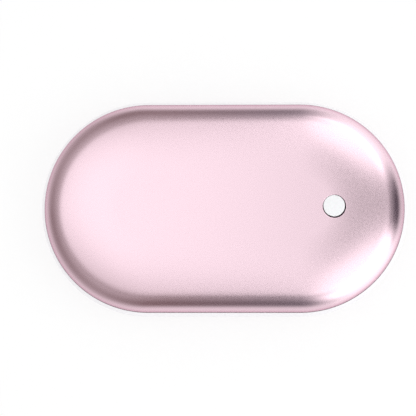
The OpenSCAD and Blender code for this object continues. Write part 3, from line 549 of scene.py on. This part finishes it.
class Nodes:
    """Short calls for making the nodes of a material or a world. Values are numbers or sockets."""

    def __init__(self, owner, fresh=True):
        owner.use_nodes = True
        self.tree = owner.node_tree
        if fresh:
            self.tree.nodes.clear()

    def put(self, socket, value):
        if isinstance(value, bpy.types.NodeSocket):
            self.tree.links.new(value, socket)
        else:
            socket.default_value = value

    def add(self, kind, values=None, **settings):
        node = self.tree.nodes.new(kind)
        for key, value in settings.items():
            setattr(node, key, value)
        for key, value in (values or {}).items():
            self.put(node.inputs[key], value)
        return node

    def place(self):
        return self.add("ShaderNodeTexCoord").outputs["Object"]

    def axes(self, vector):
        return self.add("ShaderNodeSeparateXYZ", {"Vector": vector}).outputs

    def maths(self, operation, a, b=0.0):
        return self.add("ShaderNodeMath", {0: a, 1: b}, operation=operation).outputs[0]

    def length(self, vector):
        return self.add("ShaderNodeVectorMath", {0: vector}, operation="LENGTH").outputs["Value"]

    def noise(self, vector, scale, detail=3.0, rough=0.55):
        return self.add("ShaderNodeTexNoise", {"Vector": vector, "Scale": scale, "Detail": detail,
                                               "Roughness": rough}).outputs["Fac"]

    def spread(self, value, low, high, start=0.3, end=0.7):
        """Maps a value that runs from start to end, by default a noise, to another range."""
        return self.add("ShaderNodeMapRange", {"Value": value, "From Min": start, "From Max": end,
                                               "To Min": low, "To Max": high}).outputs["Result"]

    def mix(self, factor, a, b):
        node = self.add("ShaderNodeMix", data_type="RGBA")
        for key, value in (("Factor", factor), ("A", a), ("B", b)):
            self.put(next(i for i in node.inputs if i.name == key and i.enabled), value)
        return next(o for o in node.outputs if o.enabled)

    def mix_shaders(self, factor, a, b):
        """Shows shader a where the factor is 0 and shader b where it is 1."""
        mixed = self.add("ShaderNodeMixShader", {0: factor, 1: a.outputs[0], 2: b.outputs[0]})
        self.add("ShaderNodeOutputMaterial", {"Surface": mixed.outputs[0]})


def shade(colour, factor):
    """A colour made darker or lighter, with its alpha."""
    return tuple(min(1.0, c * factor) for c in colour) + (1.0,)


def surface(name, colour, rough, metal=0.0, cloud=(60.0, 0.06), grain=(2500.0, 0.05), tint=0.06,
            bump=(0.02, 0.4), fixed=None, stretch=None):
    """A material with clouded colour, uneven roughness and a fine bump.
    cloud and grain are a noise scale per metre and an amount, tint is the grain's share of the
    colour, and bump is a height in mm and a strength. stretch scales the grain's axes, and fixed
    holds values for the shader's own sockets."""
    material = bpy.data.materials.new(name)
    net = Nodes(material)
    place = fine_place = net.place()
    if stretch:
        fine_place = net.add("ShaderNodeMapping", {"Vector": place, "Scale": stretch}).outputs[0]
    clouds = net.noise(place, cloud[0])
    fine = net.noise(fine_place, grain[0], detail=4.0, rough=0.6)
    base = net.mix(net.spread(clouds, 0.0, 1.0), shade(colour, 1 - cloud[1]),
                   shade(colour, 1 + cloud[1]))
    base = net.mix(net.spread(fine, 0.0, 1.0), base, shade(colour, 1 - tint))
    height = net.add("ShaderNodeBump", {"Height": fine, "Strength": bump[1],
                                        "Distance": bump[0] * MM})
    shader = net.add("ShaderNodeBsdfPrincipled", {
        "Base Color": base, "Metallic": metal,
        "Roughness": net.spread(fine, max(SMOOTHEST, rough - grain[1]),
                                min(1.0, rough + grain[1])),
        "Normal": height.outputs["Normal"], **(fixed or {})})
    net.add("ShaderNodeOutputMaterial", {"Surface": shader.outputs["BSDF"]})
    return material


def paint_shade(material, measure, colour):
    """Paints shade: turns a material towards a colour where a place's measure, 0 to 1, is high."""
    net = Nodes(material, fresh=False)
    shader = next(n for n in net.tree.nodes if n.type == "BSDF_PRINCIPLED")
    base = shader.inputs["Base Color"]
    amount = measure(net, net.axes(net.place()))
    net.put(base, net.mix(amount, base.links[0].from_socket, colour))


def seam_shade(net, axes):
    """1 in the belt's grooves next to the shells, where shade is painted."""
    past = net.maths("SUBTRACT", net.maths("ABSOLUTE", axes["X"]), SPINE * MM)
    flat = net.add("ShaderNodeCombineXYZ", {"X": net.maths("MAXIMUM", past), "Y": axes["Y"]})
    edge = (SHELL_HALF + SEAM_SHADE_REACH) * MM
    return net.spread(net.length(flat.outputs[0]), 1.0, 0.0, edge - SEAM_FADE * MM, edge)


def button_side_shade(net, axes):
    """1 on the button's sides, under its top edge, where shade is painted."""
    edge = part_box("power_button")[1].z - (BUTTON_CROWN + BUTTON_EDGE) * MM
    return net.spread(axes["Z"], 1.0, 0.0, edge - BUTTON_FADE * MM, edge)


def cover(target, material):
    """Gives a piece, or a CAD node, one material."""
    mesh = target.data
    mesh.materials.clear()
    mesh.materials.append(material)


def new_stage(name, points, faces, material):
    """A mesh that belongs to the studio, from points in metres."""
    mesh = bpy.data.meshes.new(name)
    mesh.from_pydata(points, [], faces)
    stage = link_object(name, mesh)
    cover(stage, material)
    return stage


def seen(net):
    """1 for rays that look at the background: from the camera, a reflection or through glass."""
    rays = net.add("ShaderNodeLightPath").outputs
    both = net.maths("MAXIMUM", rays["Is Camera Ray"], rays["Is Glossy Ray"])
    return net.maths("MAXIMUM", both, rays["Is Transmission Ray"])


def make_floor():
    """Pale floor: white to the camera and in reflections, with a part of the object's real shadow
    near the object."""
    material = bpy.data.materials.new("floor")
    net = Nodes(material)
    far = net.length(net.place())
    share = net.spread(far, 1 - SHADOW_SHARE, 1.0, SHADOW_REACH * SHADOW_FULL, SHADOW_REACH)
    net.mix_shaders(net.maths("MULTIPLY", seen(net), share),
                    net.add("ShaderNodeBsdfDiffuse", {"Color": FLOOR_MATT}),
                    net.add("ShaderNodeEmission", {"Color": WHITE, "Strength": 1.0}))
    half = FLOOR_HALF
    corners = [(-half, -half, 0), (half, -half, 0), (half, half, 0), (-half, half, 0)]
    new_stage("floor", corners, [(0, 1, 2, 3)], material)


def see_through(name, points, faces, thick, left, right):
    """A stage mesh that is clear where it is thin and glows where it is thick, in one colour at the
    object's left end and in another at its right end. Only reflections see it."""
    material = bpy.data.materials.new(name)
    net = Nodes(material)
    amount = net.add("ShaderNodeAttribute", attribute_name="thick").outputs["Fac"]
    side = net.spread(net.axes(net.place())["X"], 0.0, 1.0, -SPINE * MM, SPINE * MM)
    colour = net.mix(side, left + (1,), right + (1,))
    net.mix_shaders(amount, net.add("ShaderNodeBsdfTransparent"),
                    net.add("ShaderNodeEmission", {"Color": colour, "Strength": 1.0}))
    stage = new_stage(name, points, faces, material)
    stage.data.attributes.new("thick", "FLOAT", "POINT").data.foreach_set("value", thick)
    stage.visible_camera = False
    stage.visible_shadow = False
    stage.visible_diffuse = False
    stage.visible_transmission = False


def make_sheet(name, off, section, factors, colours, reach=((-180, 1), (180, 1))):
    """A sheet round the object, at a distance from the spine, thin where the section or the factor
    is low. Where it would go under the floor it turns inward. reach stretches the elevations by
    angle round the object."""
    columns, points, thick = path(), [], []
    for x, ux, uy in columns:
        around = math.degrees(math.atan2(uy, ux))
        factor = np.interp(around, *zip(*factors))
        stretch = np.interp(around, *zip(*reach))
        for elevation, dense in section:
            slope = math.tan(math.radians(elevation * stretch))
            z = BEND_HIGH + (off - BEND_OFF) * slope
            r = off if z > SHEET_LOW else BEND_OFF + (SHEET_LOW - BEND_HIGH) / slope
            points.append(((x + r * ux) * MM, r * uy * MM, max(SHEET_LOW, z) * MM))
            thick.append(min(1, dense * factor))
    faces = [face for face in grid(len(columns), len(section)) if max(thick[k] for k in face) > 0]
    see_through(name, points, faces, thick, *colours)


def make_ceiling():
    """The see-through ceiling, which dims reflections over the right half."""
    points = [(x, side * CEILING_HALF, CEILING_HIGH) for x, _ in CEILING for side in (-1, 1)]
    faces = grid(len(CEILING), 2, round_columns=False)
    thick = [dense for _, dense in CEILING for _ in (0, 1)]
    see_through("ceiling", points, faces, thick, *BLACK)


def make_lamp(name, around, high, off, size, mirrored):
    """A soft oval lamp that faces the object."""
    light = bpy.data.lights.new(name, "AREA")
    light.shape = "ELLIPSE"
    light.size, light.size_y = size
    area = size[0] * size[1] * math.pi / 4
    light.energy = LAMP_LEVEL * math.pi * area
    holder = link_object(name, light)
    around, high = math.radians(around), math.radians(high)
    way = Vector((math.cos(around) * math.cos(high), math.sin(around) * math.cos(high),
                  math.sin(high)))
    holder.location = way * off + Vector((0, 0, MID_Z * MM))
    holder.rotation_euler = way.to_track_quat("Z", "Y").to_euler()
    holder.visible_camera = False
    holder.visible_glossy = mirrored
    holder.visible_diffuse = not mirrored


def make_world():
    """A white room, a little brighter at the left end in reflections."""
    world = bpy.data.worlds.new("studio")
    bpy.context.scene.world = world
    net = Nodes(world)
    along = net.axes(net.add("ShaderNodeTexCoord").outputs["Generated"])["X"]
    rays = net.add("ShaderNodeLightPath").outputs
    mirrored = net.spread(along, GLOSSY_SKY + SKY_RISE, GLOSSY_SKY, RISE_LEFT, RISE_RIGHT)
    sky = net.spread(rays["Is Glossy Ray"], DIFFUSE_SKY, mirrored, 0.0, 1.0)
    sky = net.spread(rays["Is Transmission Ray"], sky, PLAIN_SKY, 0.0, 1.0)
    sky = net.spread(rays["Is Camera Ray"], sky, PLAIN_SKY, 0.0, 1.0)
    ground = net.add("ShaderNodeBackground", {"Color": WHITE, "Strength": sky})
    net.add("ShaderNodeOutputWorld", {"Surface": ground.outputs[0]})


def make_camera():
    """The camera, whose frame has the photograph's scale."""
    optics = bpy.data.cameras.new("camera")
    optics.sensor_width = SENSOR
    optics.lens = PIXELS_PER_MM * DISTANCE / MM * SENSOR / FRAME_PIXELS
    optics.clip_start, optics.clip_end = NEAREST, FARTHEST
    camera = link_object("camera", optics)
    away = Vector((math.sin(LEAN), -math.cos(ELEVATION), math.sin(ELEVATION))).normalized()
    right = Vector((0, 1, 0)).cross(away).normalized()
    camera.location = LOOK_AT + away * DISTANCE
    camera.rotation_euler = Matrix((right, away.cross(right), away)).transposed().to_euler()
    bpy.context.scene.camera = camera


# The outer pieces
top = make_shell("top_cover", "top_shell", 1)
bottom = make_shell("bottom_cover", "bottom_shell", -1)
belt = make_belt()
button = make_button()

anodised = surface("anodised_rose", ROSE, 0.26, 1.0, cloud=(35.0, 0.006), grain=(2600.0, 0.04),
                   tint=0.008, bump=(0.012, 0.32), fixed={"Specular Tint": LOW_TINT})
pearl = surface("belt_pearl", PEARL, 0.32, cloud=(40.0, 0.02), grain=(1800.0, 0.04),
                bump=(0.01, 0.25), fixed={"IOR": 1.5, "Coat Weight": 0.15, "Coat Roughness": 0.2})
# Painted shade in the belt's grooves next to the shells
paint_shade(pearl, seam_shade, SEAM_SHADE_COLOUR)
milk = surface("button_milk", MILK, 0.35, cloud=(150.0, 0.02), grain=(2600.0, 0.03),
               bump=(0.008, 0.25),
               fixed={"IOR": 1.49, "Subsurface Weight": 0.25, "Subsurface Scale": 0.001,
                      "Subsurface Radius": (1.0, 0.9, 0.95)})
# Painted shade on the button's sides, under its top edge
paint_shade(milk, button_side_shade, GAP_SHADE_COLOUR)
cover(top, anodised)
cover(bottom, anodised)
cover(belt, pearl)
cover(button, milk)

# The inner pieces
for names, material_name, colour, rough, more in INNER:
    material = surface(material_name, colour, rough, **more)
    for name in names.split():
        cover(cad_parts[name], material)
cover(make_dome(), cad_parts["switch_dome"].data.materials[0])

# The studio
make_floor()
for sheet in SHEETS:
    make_sheet(*sheet)
make_ceiling()
for lamp in LAMPS:
    make_lamp(*lamp)
make_world()
make_camera()
bpy.context.scene.view_settings.view_transform = "Standard"
